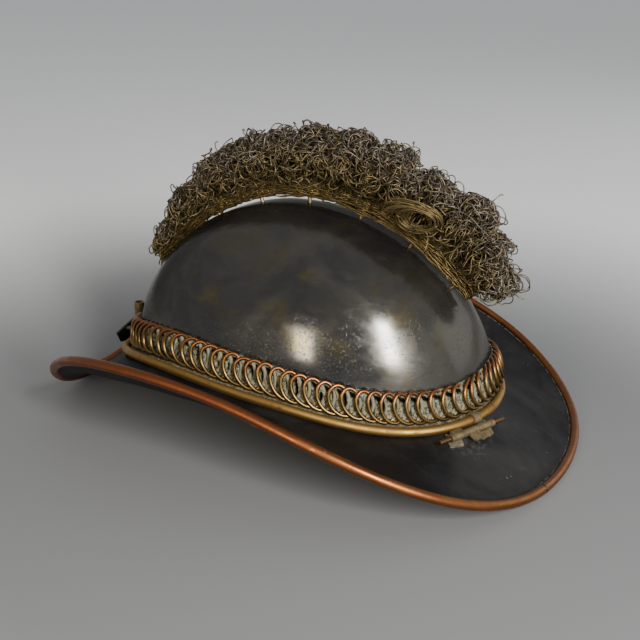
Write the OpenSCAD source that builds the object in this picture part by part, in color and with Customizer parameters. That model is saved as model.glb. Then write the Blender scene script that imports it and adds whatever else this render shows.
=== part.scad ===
// Parade helmet with a swept brim, a coil-spring hat band and a wire crest.
// Millimetres. The front faces -Y, the wearer's left is +X and Z is up.
// The helmet stands on its brim edge, with the ground at Z = 0.
// Angles round the helmet run from the front (0) past the wearer's left (90) to the rear (180).

/* [Crown] */
// Half the length of the crown at its base, front to back
crown_half_length = 111; // [108:0.5:113]
// Half the width of the crown at its base
crown_half_width = 77.3; // [75:0.1:79]
// Height of the crown above the mean level of its seam with the brim
crown_rise = 97.1; // [90:0.1:102]
// How far the crown leans forward for each millimetre of height
crown_lean = 0.104; // [0.08:0.002:0.12]
// How square the crown is from above, where 2 is an ellipse
plan_fullness = 2.31; // [2.2:0.01:2.4]
// How full the crown is from the side, where 2 is an ellipse
dome_fullness = 1.95; // [1.85:0.01:2.1]
// How much wider the plan is at the front than at the middle
plan_egg = 0.024; // [0:0.002:0.04]
// How far the crown's foot flares out at the rear
rear_flare = 2.8; // [2.2:0.1:2.8]
// Thickness of the sheet that the crown and the brim are raised from
sheet = 1.4; // [1.2:0.1:1.6]

/* [Seam] */
// Mean height of the base ring above the ground
seam_height = 38.8; // [38:0.1:41]
// How much higher the seam is at the front than at the middle
seam_tilt = 6.3; // [5:0.1:7]
// How far the seam dips at both ends and rises at both sides
seam_saddle = 4.1; // [3:0.1:5]
// Height of the shoulder in the seam over each temple
seam_shoulder = 5.2; // [4:0.1:6]

/* [Brim] */
// Distance from the middle of the helmet to the brim edge at the front
edge_reach_front = 162; // [158:0.5:166]
// The same at 30 degrees from the front
edge_reach_front_corner = 158.5; // [155:0.5:162]
// The same at 60 degrees from the front
edge_reach_front_side = 145; // [141:0.5:148]
// The same at the side
edge_reach_side = 134; // [131:0.5:138]
// The same at 120 degrees from the front
edge_reach_rear_side = 154; // [150:0.5:158]
// The same at 150 degrees from the front
edge_reach_rear_corner = 165.5; // [162:0.5:168]
// The same at the rear
edge_reach_rear = 162; // [158:0.5:166]
// Height of the brim edge above the ground at 30 degrees from the front
edge_height_front_corner = 34.7; // [30:0.1:38]
// The same at 60 degrees, where the side of the brim is turned up
edge_height_front_side = 65.5; // [60:0.1:70]
// The same at the side
edge_height_side = 60.7; // [56:0.1:64]
// The same at 120 degrees from the front
edge_height_rear_side = 38.1; // [34:0.1:42]
// The same at 150 degrees from the front
edge_height_rear_corner = 8.6; // [7:0.1:11]
// Depth of the gutter in the turned-up side of the brim
gutter_side = 8.5; // [6:0.1:10]
// Hollow of the brim at the front and at the rear
gutter_end = 2.5; // [1:0.1:4]
// Diameter of the tube that binds the brim edge
binding_d = 5.6; // [5:0.1:6.4]
// How far the brim edge is bent down at the right front corner
edge_dent = 5; // [0:0.5:6]
// Gap in the binding where its two ends butt together
binding_gap = 0.4; // [0.2:0.1:0.8]

/* [Hat band] */
// Diameter of the moulding round the foot of the crown
ring_d = 5.2; // [4.8:0.1:5.6]
// Distance from the crown wall to the middle of that moulding
ring_stand = 9; // [8.6:0.1:9.4]
// How far the moulding is drawn in at the rear
ring_rear_tuck = 4.5; // [2.8:0.1:4.8]
// Height of the lowest point of the coil spring above the brim
coil_foot = 4.2; // [4.2:0.1:5.5]
// How much higher the coil sits at the rear
coil_rear_lift = 1.2; // [1.2:0.1:3]
// Height of the coil's loops
coil_height = 18.8; // [18:0.1:21]
// Thickness of the flattened coil, out from the crown
coil_depth = 4; // [3.5:0.1:4.2]

/* [Crest] */
// Angle up from the seam where the crest starts at the front
crest_start = 27; // [25:1:30]
// Angle over the crown where the crest ends at the rear
crest_end = 149; // [146:1:151]
// Diameter of the wire bundle that carries the crest
spine_d = 5.4; // [4.5:0.1:5.4]
// Gap from the crown to the middle of the bundle at the front
spine_low = 3; // [3:0.1:3.2]
// The same over the top and the rear
spine_high = 7.2; // [6.5:0.1:9]
// Half the thickness of the crest across the helmet
crest_half_width = 17; // [14:0.5:19]

/* [Front fittings] */
// Outer diameter of the plume socket
socket_d = 6.4; // [6:0.1:6.6]
// Bore of the plume socket
socket_bore = 4.4; // [4:0.1:4.6]
// Height of the plume socket
socket_h = 16; // [12:0.5:18]
// Half the width of the badge plate
badge_half_width = 22; // [20:0.5:24]
// Thickness of the badge plate
badge_t = 1.2; // [1:0.1:1.6]

/* [Rear hinge] */
// Length of the hinge pin
pin_length = 52; // [48:1:54]
// Outer diameter of the hollow hinge pin
pin_d = 2.6; // [2.4:0.1:2.8]
// Outer diameter of the hinge knuckles
knuckle_d = 4.4; // [4.2:0.1:4.6]
// Radial clearance of the pin in the knuckles
pin_clear = 0.06; // [0.04:0.01:0.1]

/* [Lining] */
// Height of the sweatband
sweatband_h = 26; // [22:1:28]
// Thickness of the lining leather
leather = 2; // [1.6:0.1:2.4]
// Number of tongues in the lining
tongues = 8; // [6:1:10]
// Wire diameter of the chin-strap rings
strap_ring_wire = 2.5; // [2.2:0.1:2.8]
// Width inside the chin-strap rings
strap_ring_w = 18; // [16:1:20]

/* [Hidden] */
TUFTS = 12;

round_fn = 48;
ring_r = ring_d / 2;
binding_r = binding_d / 2;
spine_r = spine_d / 2;
laps = 72;                  // stations round the helmet
lap_angles = [for (i = [0 : laps - 1]) i * 360 / laps];
skin = 0.3;                 // gap left between pieces that only lie side by side
edge_reach = [edge_reach_front, edge_reach_front_corner, edge_reach_front_side, edge_reach_side,
              edge_reach_rear_side, edge_reach_rear_corner, edge_reach_rear];
edge_height = [binding_r, edge_height_front_corner, edge_height_front_side, edge_height_side,
               edge_height_rear_side, edge_height_rear_corner, binding_r];
gutter = [gutter_end, (gutter_end + gutter_side) / 2, gutter_side, gutter_side * 0.6,
          gutter_end, gutter_end, gutter_end];

// Crest tufts, front to rear: length of the wires and lean towards the rear, in degrees
tuft_length = [20, 29, 31, 35, 36, 36, 39, 43, 43, 41, 46, 32];
tuft_lean = [-14, -4, 0, 0, 0, 2, 8, 14, 20, 28, 42, 72];
tuft_width = [0.5, 0.6, 0.85, 1, 1, 1, 1, 1, 1, 0.95, 0.9, 0.85];

// Middle of the rear hinge's pin, and its turn about the vertical
hinge_at = [45.6, 113.4, 28.8];
hinge_turn = -28;
knuckle_gap = 0.3;
middle_knuckle = 8.2;
outer_knuckle = 12.8;

// Middle of the left chin-strap eye
strap_eye_at = [81, 0, 34.2];

// ---------- outlines shared by several pieces ----------

function spow(v, e) = sign(v) * pow(abs(v), e);
function sum(v) = v * [for (x = v) 1];
function end_weight(i, n) = (i == 0 || i == n) ? 0.5 : 1;
function smooth(t) = let (c = min(1, max(0, t))) c * c * (3 - 2 * c);
function mix(a, b, t) = a + (b - a) * t;

// Cosine series through values given at equal steps from the front (0) to the rear (180)
function series(v) = let (n = len(v) - 1)
    [for (k = [0 : n]) end_weight(k, n) * 2 / n
        * sum([for (j = [0 : n]) end_weight(j, n) * v[j] * cos(k * j * 180 / n)])];
function series_at(c, th) = sum([for (k = [0 : len(c) - 1]) c[k] * cos(k * th)]);
reach_series = series(edge_reach);
height_series = series(edge_height);
gutter_series = series(gutter);

// Plan outline with half length a and half width b, and its outward direction
function plan(a, b, th) = let (e = 2 / plan_fullness, y = -a * spow(cos(th), e))
    [b * spow(sin(th), e) * (1 - plan_egg * y / a), y];
function plan_out(a, b, th) = let (e = 2 - 2 / plan_fullness,
    v = [spow(sin(th), e) / b, -spow(cos(th), e) / a]) v / norm(v);

// Weight that is 1 at the rear, just past the middle, and falls to 0 round the sides
rear_at = 190;
function rearward(th, sharpness) = pow(max(0, cos(th - rear_at)), sharpness);

// Height of the base ring's middle, and of the brim under it
function seam_z(th) = seam_height + seam_tilt * cos(th) - seam_saddle * cos(2 * th)
    - seam_shoulder * cos(3 * th);
function seat_z(th) = seam_z(th) - ring_r;

// Point on the crown at elevation angle lift, moved out from the sheet's outer face
function dome(th, lift, out) = let (
    rise = crown_rise + out, h = rise * pow(sin(lift), 2 / dome_fullness),
    r = pow(cos(lift), 2 / dome_fullness), p = plan(crown_half_length + out, crown_half_width + out, th),
    low = pow(1 - h / rise, 3))
    [p.x * r, p.y * r - crown_lean * h + rear_flare * rearward(th, 4) * pow(1 - h / rise, 1.1),
     seam_height + h + (seat_z(th) - seam_height) * low];
// The same at a height h above the brim
function unsettled(h, drop, rise, guess, n) = n == 0 ? guess
    : unsettled(h, drop, rise, h - drop * (1 - pow(1 - guess / rise, 3)), n - 1);
function wall(th, h, out) = let (rise = crown_rise + out, g = unsettled(h, seam_height - seat_z(th), rise, h, 6))
    dome(th, asin(pow(max(0, g) / rise, dome_fullness / 2)), out);
// Point on the crown's ridge: lift runs from 0 at the front over the top to 180 at the rear
function ridge(lift, out) = dome(lift <= 90 ? 0 : 180, lift <= 90 ? lift : 180 - lift, out);

// Plan of the base ring's middle
function ring_shift(th) = -ring_rear_tuck * pow(max(0, cos(th - 196)), 24);
function ring_plan(th) = plan(crown_half_length + ring_stand, crown_half_width + ring_stand, th)
    + [0, ring_shift(th)];

// Middle of the brim's edge binding
edge_dent_at = 338;
function edge(th) = let (r = series_at(reach_series, th),
    z = series_at(height_series, th) - edge_dent * pow(max(0, cos(th - edge_dent_at)), 24))
    [r * sin(th), -r * cos(th), max(binding_r, z)];
// Top face of the brim: s runs from 0 at the base ring to 1 at the edge
function brim_top(th, s) = let (p = ring_plan(th), a = [p.x, p.y, seat_z(th)], b = edge(th))
    mix(a, b, s) - [0, 0, 4 * series_at(gutter_series, th) * s * (1 - s)];

// Middle line of the crest's wire bundle
function spine_gap(lift) = mix(spine_low, spine_high, smooth((lift - 42) / 50));
function spine(lift) = ridge(lift, spine_gap(lift));

// ---------- solids from sections ----------

// Skins a list of closed outlines, each turning anticlockwise about the way they run
module loft(sections, closed = false) {
    n = len(sections);
    k = len(sections[0]);
    last = closed ? n - 1 : n - 2;
    sides = [for (i = [0 : last], j = [0 : k - 1]) let (
        a = i * k + j, b = i * k + (j + 1) % k, c = ((i + 1) % n) * k + (j + 1) % k, d = ((i + 1) % n) * k + j)
        each [[a, d, c], [a, c, b]]];
    caps = closed ? [] : [[for (j = [0 : k - 1]) j], [for (j = [k - 1 : -1 : 0]) (n - 1) * k + j]];
    polyhedron(points = [for (s = sections) each s], faces = concat(sides, caps), convexity = 8);
}

// Round section about a point, from the direction up towards the direction out
function disc(p, r, up, out, n) = [for (i = [0 : n - 1]) p + r * (cos(i * 360 / n) * up + sin(i * 360 / n) * out)];
function level(v) = [v.x, v.y, 0];
Z = [0, 0, 1];

// Closed band that follows the crown: rows are [height above the brim, distance out from the crown],
// and raise is added to the heights at the rear
module wall_band(rows, raise = 0) {
    loft([for (th = lap_angles) [for (r = rows) wall(th, r[0] + raise * rearward(th, 16), r[1])]], closed = true);
}

// Dome with an open foot, from an outer and an inner set of rings
module double_dome(outer, outer_top, inner, inner_top) {
    r = len(outer);
    n = len(outer[0]);
    o = r * n;
    points = concat([for (q = outer) each q], [for (q = inner) each q], [outer_top, inner_top]);
    outside = [for (i = [0 : r - 2], j = [0 : n - 1]) let (
        a = i * n + j, b = i * n + (j + 1) % n, c = (i + 1) * n + (j + 1) % n, d = (i + 1) * n + j)
        each [[a, c, b], [a, d, c]]];
    inside = [for (i = [0 : r - 2], j = [0 : n - 1]) let (
        a = o + i * n + j, b = o + i * n + (j + 1) % n, c = o + (i + 1) * n + (j + 1) % n, d = o + (i + 1) * n + j)
        each [[a, b, c], [a, c, d]]];
    tops = [for (j = [0 : n - 1]) each [
        [(r - 1) * n + j, 2 * o, (r - 1) * n + (j + 1) % n],
        [o + (r - 1) * n + j, o + (r - 1) * n + (j + 1) % n, 2 * o + 1]]];
    foot = [for (j = [0 : n - 1]) let (a = j, b = (j + 1) % n) each [[a, b, o + b], [a, o + b, o + a]]];
    polyhedron(points = points, faces = concat(outside, inside, tops, foot), convexity = 6);
}

// Straight round rod between two points in a plane of constant x
module rod(from, to, r, fn = round_fn) {
    d = to - from;
    translate(from) rotate([-atan2(d.y, d.z), 0, 0]) cylinder(h = norm(d), r = r, $fn = fn);
}

// ---------- crown and brim ----------

module crown_shell() {
    rows = 14;
    lifts = [for (j = [0 : rows - 1]) 90 * j / rows];
    color([0.16, 0.15, 0.14])
    double_dome([for (l = lifts) [for (th = lap_angles) dome(th, l, 0)]], dome(0, 90, 0),
                [for (l = lifts) [for (th = lap_angles) dome(th, l, -sheet)]], dome(0, 90, -sheet));
}

// The brim's margin runs a little way in under the crown, and its edge runs into the binding
module brim() {
    margin = 3;
    steps = 8;
    function reach_in(th) = let (l = norm(level(edge(th) - brim_top(th, 0)))) 1 - (binding_r - 0.6) / l;
    function top_line(th) = let (p = plan(crown_half_length - margin, crown_half_width - margin, th))
        concat([[p.x, p.y, seat_z(th)]], [for (j = [0 : steps]) brim_top(th, reach_in(th) * j / steps)]);
    function section(th) = let (t = top_line(th), n = len(t))
        concat(t, [for (j = [n - 1 : -1 : 0]) t[j] - [0, 0, sheet]]);
    color([0.13, 0.13, 0.13])
    loft([for (th = lap_angles) section(th)], closed = true);
}

module edge_binding() {
    joint = 162;                        // where the two ends meet
    stations = 96;
    half_gap = binding_gap / 2 / edge_reach_rear * 180 / PI;
    color([0.66, 0.34, 0.19])
    loft([for (i = [0 : stations]) let (
        th = joint + mix(half_gap, 360 - half_gap, i / stations),
        ahead = edge(th + 0.5) - edge(th - 0.5), out = level([ahead.y, -ahead.x, 0]) / norm(level(ahead)))
        disc(edge(th), binding_r, Z, out, 8)]);
}

// ---------- hat band ----------

module base_ring() {
    a = crown_half_length + ring_stand;
    b = crown_half_width + ring_stand;
    color([0.55, 0.42, 0.2])
    loft([for (th = lap_angles) let (p = ring_plan(th), o = plan_out(a, b, th))
        disc([p.x, p.y, seam_z(th)], ring_r, Z, [o.x, o.y, 0], 10)], closed = true);
}

// Filling that the spring is bedded in, with a shelf that runs out to the base ring
module coil_backing() {
    inner = 0.2;
    outer = 2.6;
    head = coil_foot + coil_height - 2.2;
    function section(th) = let (lift = coil_rear_lift * rearward(th, 16),
        shelf = max(inner + 0.2, ring_stand - ring_r - skin - rear_flare * rearward(th, 4) + ring_shift(th)))
        [[head + lift, inner], [head + lift, outer], [coil_foot + lift, outer],
         [2.4, shelf], [skin, shelf], [skin, inner]];
    color([0.42, 0.43, 0.33])
    loft([for (th = lap_angles) [for (r = section(th)) wall(th, r[0], r[1])]], closed = true);
}

// The space that the spring's overlapping loops fill
module coil_band() {
    inner = 1.8;
    outer = inner + coil_depth;
    mid = (inner + outer) / 2;
    bevel = 1.5;
    head = coil_foot + coil_height;
    color([0.72, 0.5, 0.28])
    wall_band([[head - bevel, inner], [head, mid], [head - bevel, outer],
               [coil_foot + bevel, outer], [coil_foot, mid], [coil_foot + bevel, inner]], coil_rear_lift);
}

// ---------- crest ----------

module crest_spine() {
    stations = 30;
    color([0.5, 0.4, 0.18])
    loft([for (i = [0 : stations]) let (
        l = mix(crest_start, crest_end, i / stations), d = spine(l + 0.5) - spine(l - 0.5),
        up = [0, -d.z, d.y] / norm(d))
        disc(spine(l), spine_r, up, [1, 0, 0], 8)]);
}

post_r = 1.2;
post_lifts = [42 : 17 : 144];
module crest_posts() {
    color([0.3, 0.25, 0.16])
    for (l = post_lifts) rod(ridge(l, -sheet - 3.2), spine(l), post_r, 24);
}

module crest_nuts() {
    color([0.45, 0.36, 0.18])
    for (l = post_lifts) difference() {
        rod(ridge(l, -sheet - 2.5), ridge(l, -sheet - 0.1), 3, 6);
        rod(ridge(l, -sheet - 4), spine(l), post_r + 0.05, 24);
    }
}

// Value of a list at place u, where u = i + 0.5 is the middle of tuft i
function along(v, u) = let (c = min(len(v) - 1, max(0, u - 0.5)), i = min(len(v) - 2, floor(c)))
    mix(v[i], v[i + 1], c - i);

// A tuft is a rounded wedge of wire, between 0 and 1 of its own stretch of the spine
module crest_tuft(number) {
    stations = 4;
    sides = 8;
    foot = spine_r + 0.2;
    function station(i) = let (
        t = mix(0.02, 0.98, i / stations), u = number - 1 + t, swell = 1 - 0.45 * pow(abs(2 * t - 1), 3),
        l = mix(crest_start, crest_end, u / TUFTS), lean = along(tuft_lean, u),
        up = [0, sin(lean), cos(lean)], tall = mix(foot + 2, tuft_length[number - 1], swell),
        half = crest_half_width * tuft_width[number - 1] * swell, mid = (foot + tall) / 2)
        [for (j = [0 : sides - 1]) let (a = 360 * (j + 0.5) / sides)
            spine(l) + up * (mid + (tall - mid) * cos(a)) + [half * sin(a), 0, 0]];
    color([0.4, 0.32, 0.16])
    loft([for (i = [0 : stations]) station(i)]);
}

// ---------- front fittings ----------

socket_y = -(crown_half_length + ring_stand + 4.9);
badge_back = socket_y - socket_d / 2 - skin;
stud_z = 40.2;
stud_x = 10;

module badge_plate() {
    w = badge_half_width;
    outline = [[-w, 40.5], [-w / 2, 42.6], [0, 44.2], [w / 2, 42.6], [w, 40.5],
               [w - 4.5, 33], [8, 31.4], [0, 31], [-8, 31.4], [4.5 - w, 33]];
    color([0.06, 0.06, 0.06])
    translate([0, badge_back, 0]) rotate([90, 0, 0]) linear_extrude(height = badge_t) polygon(outline);
}

module badge_studs() {
    color([0.5, 0.4, 0.2])
    for (x = [-stud_x, stud_x])
        rod([x, badge_back, stud_z], [x, -crown_half_length + 4.8, stud_z], 1.5, 32);
}

module badge_nuts() {
    inside = -crown_half_length + 2.2;
    color([0.5, 0.4, 0.2])
    for (x = [-stud_x, stud_x]) difference() {
        rod([x, inside, stud_z], [x, inside + 2.2, stud_z], 3.2, 6);
        rod([x, inside - 1, stud_z], [x, inside + 4, stud_z], 1.55, 32);
    }
}

// Tube for the stem of a plume, on a foot that sits on the base ring
module plume_socket() {
    top_of_ring = seam_z(0) + ring_r;
    foot_h = 1.4;
    color([0.45, 0.36, 0.22]) {
        translate([0, socket_y, top_of_ring + foot_h]) difference() {
            cylinder(h = socket_h, d = socket_d, $fn = round_fn);
            translate([0, 0, -1]) cylinder(h = socket_h + 2, d = socket_bore, $fn = round_fn);
        }
        translate([-4, socket_y - 2, top_of_ring]) cube([8, 7, foot_h]);
    }
}

// ---------- rear hinge ----------

// Places its children in the hinge's frame: x along the pin, y out from the crown
module at_hinge() {
    translate(hinge_at) rotate([0, 0, hinge_turn]) children();
}

module knuckle(from, length) {
    translate([from, 0, 0]) rotate([0, 90, 0]) difference() {
        cylinder(h = length, d = knuckle_d, $fn = round_fn);
        translate([0, 0, -1]) cylinder(h = length + 2, d = pin_d + 2 * pin_clear, $fn = round_fn);
    }
}

// Two outer knuckles, the rear one with a strap that hooks over the base ring
module hinge_fixed_leaf() {
    start = middle_knuckle / 2 + knuckle_gap;
    strap_w = 5.6;
    strap_t = 1;
    // Middle of the base ring by the rear knuckle, in the hinge's y and z
    hook = [-5.4, 3.3];
    color([0.42, 0.36, 0.22]) at_hinge() {
        knuckle(start, outer_knuckle);
        knuckle(-start - outer_knuckle, outer_knuckle);
        translate([start + 2, -3.6, 0.7]) cube([8, 2.6, 1.6]);
        translate([-start - strap_w, 0, 0]) rotate([90, 0, 90])
            linear_extrude(height = strap_w) difference() {
                union() {
                    translate(hook) circle(r = ring_r + 0.1 + strap_t, $fn = round_fn);
                    translate([hook.x + 2, 0.7]) square([-1 - hook.x - 2, 1.6]);
                }
                translate(hook) circle(r = ring_r + 0.1, $fn = round_fn);
                translate([hook.x - 10, hook.y - 10.8]) square([20, 10]);
            }
    }
}

// Solder that beds the outer knuckles on the brim
module hinge_solder() {
    bed = 1.2;
    function patch(th) = [for (q = [[0.04, bed], [0.1, bed + 0.4], [0.19, 0.5], [0.19, -0.2], [0.04, -0.2]])
        brim_top(th, q[0]) + [0, 0, q[1]]];
    color([0.5, 0.5, 0.4])
    for (stretch = [[143.6, 148.8], [157.8, 162.8]])
        loft([for (i = [0 : 3]) patch(mix(stretch[0], stretch[1], i / 3))]);
}

module hinge_pin() {
    color([0.6, 0.42, 0.22]) at_hinge() rotate([0, 90, 0]) difference() {
        cylinder(h = pin_length, d = pin_d, center = true, $fn = round_fn);
        cylinder(h = pin_length + 2, d = pin_d - 1.2, center = true, $fn = round_fn);
    }
}

// What is left of the lost flap's leaf: one knuckle and a torn plate
module hinge_loose_leaf() {
    droop = -24;
    w = middle_knuckle;
    torn = [[-w / 2, 1.7], [w / 2, 1.7], [w / 2, 6], [2.2, 7.5], [-0.4, 6.6], [-2.6, 8.1], [-5.2, 6.9],
            [-8.3, 7.7], [-11.6, 5.9], [-12.4, 3.1], [-w / 2, 2.9]];
    color([0.42, 0.36, 0.22]) at_hinge() {
        knuckle(-w / 2, w);
        rotate([droop, 0, 0]) translate([0, 0, -0.4]) linear_extrude(height = 0.8) polygon(torn);
    }
}

// ---------- lining and chin-strap rings ----------

sweat_out = 6.2;                        // from the crown's outer face in to the sweatband
module sweatband() {
    foot = 0.6;
    tread = 2;
    back = sweat_out + leather;
    seat = sheet + 0.1;
    color([0.33, 0.2, 0.12])
    wall_band([[sweatband_h, -back], [sweatband_h, -sweat_out], [foot + tread, -sweat_out],
               [foot + tread, -seat], [foot, -seat], [foot, -back]]);
}

module sweatband_rivets() {
    h = 1.75;
    color([0.5, 0.4, 0.2])
    for (th = [22.5 : 45 : 337.5]) {
        p = wall(th, h, 0);
        o = plan_out(crown_half_length, crown_half_width, th);
        translate([p.x, p.y, p.z]) rotate([0, 90, atan2(o.y, o.x)]) {
            translate([0, 0, -4]) cylinder(h = 4.6, r = 0.8, $fn = 24);
            translate([0, 0, 0.2]) cylinder(h = 0.8, r = 1.2, $fn = 24);
        }
    }
}

// Leather tongues from the sweatband to the drawcord, each narrowing as it rises
module lining_tongues() {
    rows = 6;
    low = 13;
    high = 68;
    across = 4;
    function inset(l) = sweat_out + leather + 0.4 + 7 * sin(l);
    function row(mid, i) = let (t = i / rows, l = mix(low, high, t), half = 180 / tongues * mix(0.86, 0.5, t * t))
        concat([for (j = [0 : across]) dome(mid + mix(-half, half, j / across), l, -inset(l) - leather)],
               [for (j = [across : -1 : 0]) dome(mid + mix(-half, half, j / across), l, -inset(l))]);
    color([0.38, 0.25, 0.15])
    for (k = [0 : tongues - 1]) loft([for (i = [0 : rows]) row((k + 0.5) * 360 / tongues, i)]);
}

module lining_drawcord() {
    cord_r = 1.2;
    inset = sweat_out + leather + 0.4 + 7 + leather / 2;
    color([0.7, 0.62, 0.45])
    loft([for (th = [0 : 10 : 350]) let (o = plan_out(crown_half_length, crown_half_width, th))
        disc(dome(th, 70, -inset), cord_r, Z, [o.x, o.y, 0], 6)], closed = true);
}

// Eye under the brim with its shank through the sheet and a head on top
module strap_eye(side) {
    p = [side * strap_eye_at.x, strap_eye_at.y, strap_eye_at.z];
    bore = strap_ring_wire + 0.16;
    top = seat_z(90);
    color([0.5, 0.4, 0.2]) {
        translate(p) rotate([90, 0, 0]) difference() {
            cylinder(h = 6, r = 2.8, center = true, $fn = round_fn);
            cylinder(h = 8, d = bore, center = true, $fn = round_fn);
        }
        translate([p.x, p.y, p.z + 2.4]) cylinder(h = top - p.z - 2, r = 1.2, $fn = 32);
        translate([p.x, p.y, top - 0.2]) cylinder(h = 1.4, r = 2.2, $fn = 32);
    }
}

module strap_ring(side) {
    r = strap_ring_wire / 2;
    half = strap_ring_w / 2 + r;
    color([0.55, 0.45, 0.22])
    translate([side * strap_eye_at.x, strap_eye_at.y, strap_eye_at.z]) {
        rotate([90, 0, 0]) cylinder(h = 2 * half, r = r, center = true, $fn = round_fn);
        for (y = [-half, half]) translate([0, y, 0]) sphere(r = r, $fn = round_fn);
        rotate([0, 90, 0]) rotate([0, 0, -90]) rotate_extrude(angle = 180, $fn = 64)
            translate([half, 0]) circle(r = r, $fn = 32);
    }
}

module strap_eye_left() { strap_eye(1); }
module strap_eye_right() { strap_eye(-1); }
module strap_ring_left() { strap_ring(1); }
module strap_ring_right() { strap_ring(-1); }

crown_shell();
brim();
edge_binding();
base_ring();
coil_backing();
coil_band();
crest_spine();
crest_posts();
crest_nuts();
for (n = [1 : TUFTS]) crest_tuft(n);
badge_plate();
badge_studs();
badge_nuts();
plume_socket();
hinge_fixed_leaf();
hinge_solder();
hinge_pin();
hinge_loose_leaf();
sweatband();
sweatband_rivets();
lining_tongues();
lining_drawcord();
strap_eye_left();
strap_eye_right();
strap_ring_left();
strap_ring_right();
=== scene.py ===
"""Looks of a parade helmet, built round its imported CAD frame. Metres, Z up, the front faces -Y.

Angles round the helmet run from the front (0) past the wearer's left (90) to the rear (180).
Shapes are written in millimetres, as the CAD part is, and scaled by MM when a mesh is made.
"""

import math

import bpy
import numpy as np
from mathutils import Matrix, Vector


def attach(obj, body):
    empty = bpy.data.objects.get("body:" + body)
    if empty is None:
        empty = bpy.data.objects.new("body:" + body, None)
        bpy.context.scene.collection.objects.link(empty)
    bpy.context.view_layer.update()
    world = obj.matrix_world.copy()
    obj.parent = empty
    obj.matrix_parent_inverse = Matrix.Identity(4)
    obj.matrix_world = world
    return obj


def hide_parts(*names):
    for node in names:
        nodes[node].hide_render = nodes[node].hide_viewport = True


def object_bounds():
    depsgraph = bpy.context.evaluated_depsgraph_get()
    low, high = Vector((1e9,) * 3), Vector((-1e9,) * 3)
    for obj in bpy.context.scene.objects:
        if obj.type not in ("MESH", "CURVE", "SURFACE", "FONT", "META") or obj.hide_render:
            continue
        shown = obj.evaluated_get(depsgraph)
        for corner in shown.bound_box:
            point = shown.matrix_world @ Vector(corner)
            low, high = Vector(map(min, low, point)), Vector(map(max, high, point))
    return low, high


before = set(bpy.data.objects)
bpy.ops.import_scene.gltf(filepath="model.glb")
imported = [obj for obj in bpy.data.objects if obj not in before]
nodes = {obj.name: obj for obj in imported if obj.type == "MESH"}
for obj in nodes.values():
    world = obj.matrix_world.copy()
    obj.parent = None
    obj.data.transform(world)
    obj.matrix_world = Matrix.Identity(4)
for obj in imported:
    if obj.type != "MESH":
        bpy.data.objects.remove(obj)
cad_lo, cad_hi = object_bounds()
MM = 0.001

# ---------- camera, floor and light ----------

VIEW_AZIMUTH = 111.39
VIEW_ELEVATION = 19.56
VIEW_ROLL = 1.33
VIEW_DISTANCE = 0.6607
LENS = 60.42
AIM_ASIDE, AIM_BACK, AIM_UP = 0.0016, 0.0041, 0.0631      # from the middle of the box's underside
aim = Vector(((cad_lo.x + cad_hi.x) / 2 + AIM_ASIDE,
              (cad_lo.y + cad_hi.y) / 2 + AIM_BACK,
              cad_lo.z + AIM_UP))
WORLD_COLOUR = (0.42, 0.43, 0.44, 1)


def towards(azimuth, elevation):
    """Unit vector from the helmet towards a viewpoint or a light."""
    az, el = math.radians(azimuth), math.radians(elevation)
    return Vector((math.sin(az) * math.cos(el), -math.cos(az) * math.cos(el), math.sin(el)))


def facing(direction, roll=0.0):
    """Rotation of a camera or lamp that looks against that direction."""
    turn = (-direction).to_track_quat("-Z", "Y").to_matrix()
    return (turn @ Matrix.Rotation(math.radians(roll), 3, "Z")).to_euler()


def make_camera():
    data = bpy.data.cameras.new("camera")
    data.lens = LENS
    camera = bpy.data.objects.new("camera", data)
    out = towards(VIEW_AZIMUTH, VIEW_ELEVATION)
    camera.location = aim + out * VIEW_DISTANCE
    camera.rotation_euler = facing(out, VIEW_ROLL)
    bpy.context.scene.collection.objects.link(camera)
    bpy.context.scene.camera = camera


def make_softbox(name, azimuth, elevation, distance, width, height, radiance, colour):
    data = bpy.data.lights.new(name, "AREA")
    data.shape = "RECTANGLE"
    data.size, data.size_y = width, height
    data.energy = radiance * math.pi * width * height
    data.color = colour
    lamp = bpy.data.objects.new(name, data)
    out = towards(azimuth, elevation)
    lamp.location = aim + out * distance
    lamp.rotation_euler = facing(out)
    bpy.context.scene.collection.objects.link(lamp)


make_camera()
make_softbox("main_light", 134, 24, 1.3, 0.19, 0.56, 100, (1.0, 0.99, 0.97))
make_softbox("warm_light", 86, 15, 1.3, 0.19, 0.40, 30, (1.0, 0.89, 0.68))
make_softbox("rear_light", 217, 18, 1.6, 1.7, 0.8, 1.4, (1.0, 1.0, 1.0))
world = bpy.data.worlds.new("studio")
world.use_nodes = True
world.node_tree.nodes["Background"].inputs["Color"].default_value = WORLD_COLOUR
bpy.context.scene.world = world


# ---------- material kit ----------

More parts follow.
